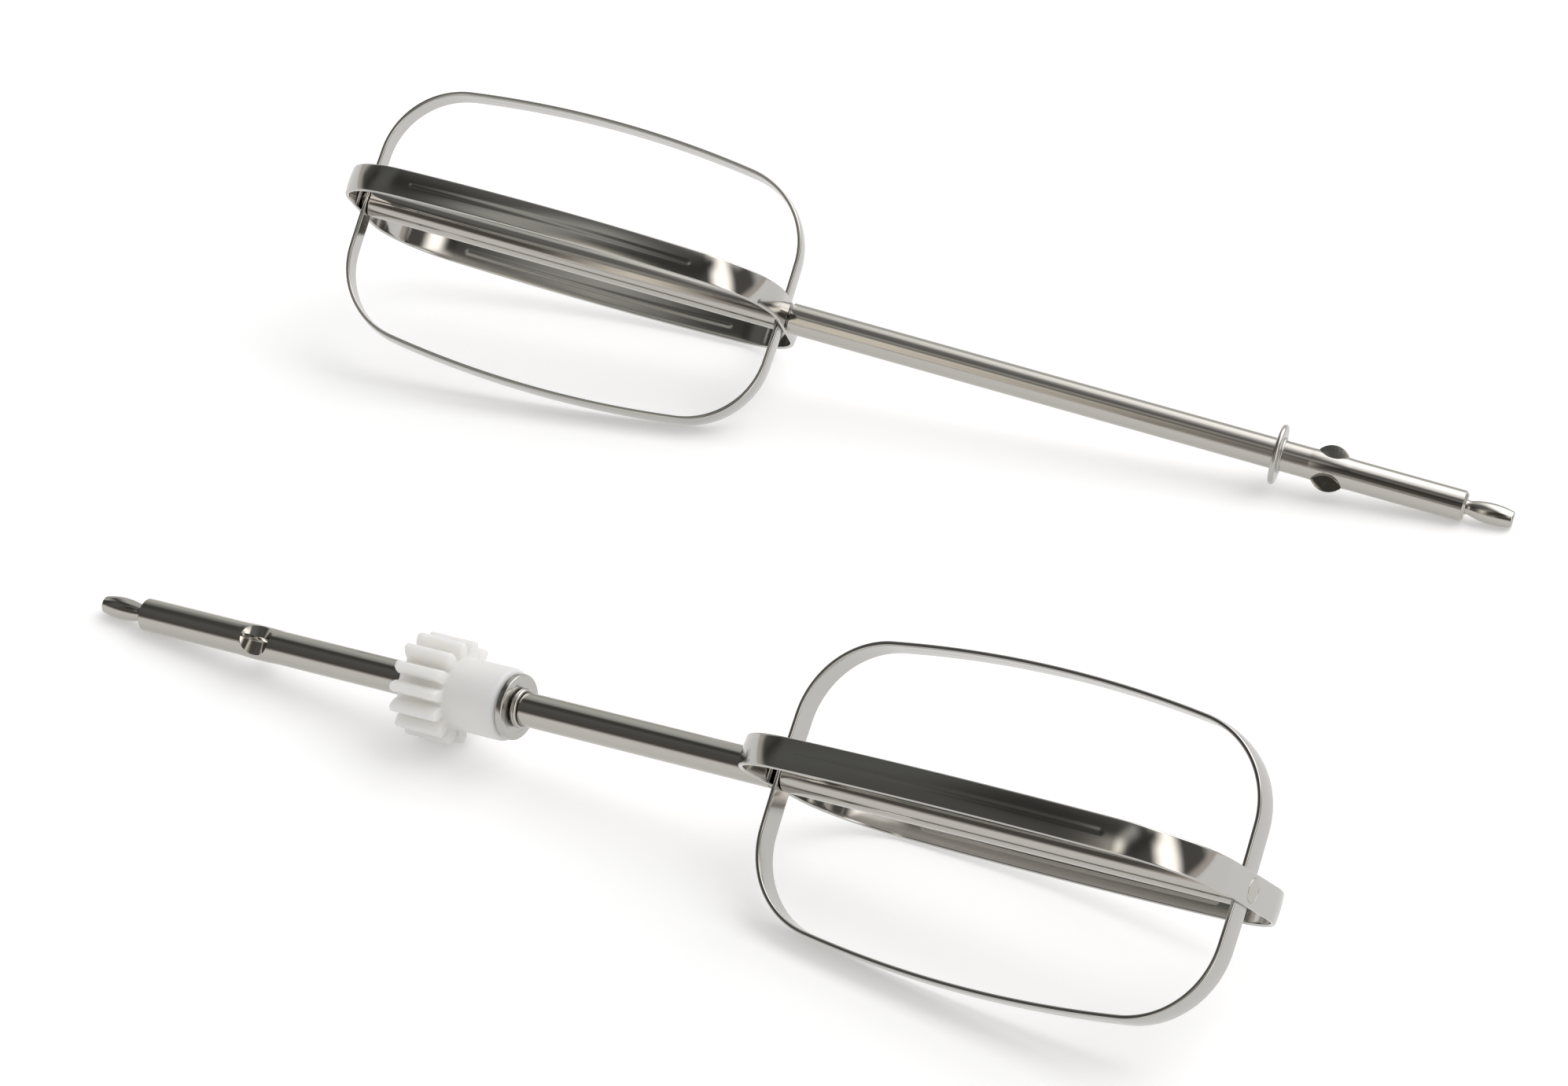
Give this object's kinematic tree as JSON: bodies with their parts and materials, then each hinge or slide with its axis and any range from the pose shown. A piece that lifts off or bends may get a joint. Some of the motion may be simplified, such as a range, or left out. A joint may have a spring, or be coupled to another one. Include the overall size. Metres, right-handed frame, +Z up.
{
  "type": "hand mixer beater pair",
  "caption": "Pair of steel strip-loop beaters for a hand mixer: round drive shafts with a coupling nub and pressed fins, one with a stop collar, one with a nylon pinion.",
  "frame": {"origin": "on the table that the pair lies on, at the middle of the footprint of both beaters", "axes": "+Z up from the table; +X along the bars, the way the plain beater's tip points; the geared beater lies the other way round, on the -Y side"},
  "size_m": [0.1986, 0.1528, 0.0392],
  "materials": {
    "polished_bar": "polished and plated round steel bar",
    "polished_strip": "bright rolled steel strip with dull sheared edges",
    "polished_fittings": "plated steel, satin faces and bright rims",
    "natural_nylon": "unpigmented moulded nylon, milky and slightly translucent"
  },
  "bodies": {
    "plain_beater": {"plain_drive_shaft": "polished_bar", "plain_stop_collar": "polished_fittings", "plain_spacer_tube": "polished_bar", "plain_outer_loop": "polished_strip", "plain_inner_loop": "polished_strip"},
    "geared_beater": {"geared_drive_shaft": "polished_bar", "drive_pinion": "natural_nylon", "pinion_washer": "polished_fittings", "retaining_ring": "polished_fittings", "geared_spacer_tube": "polished_bar", "geared_outer_loop": "polished_strip", "geared_inner_loop": "polished_strip"}
  },
  "joints": [
    {"name": "geared_beater_lift", "type": "slide", "parent": "plain_beater", "child": "geared_beater", "axis": [0, 0, 1], "range_m": [0, 0.1]}
  ]
}
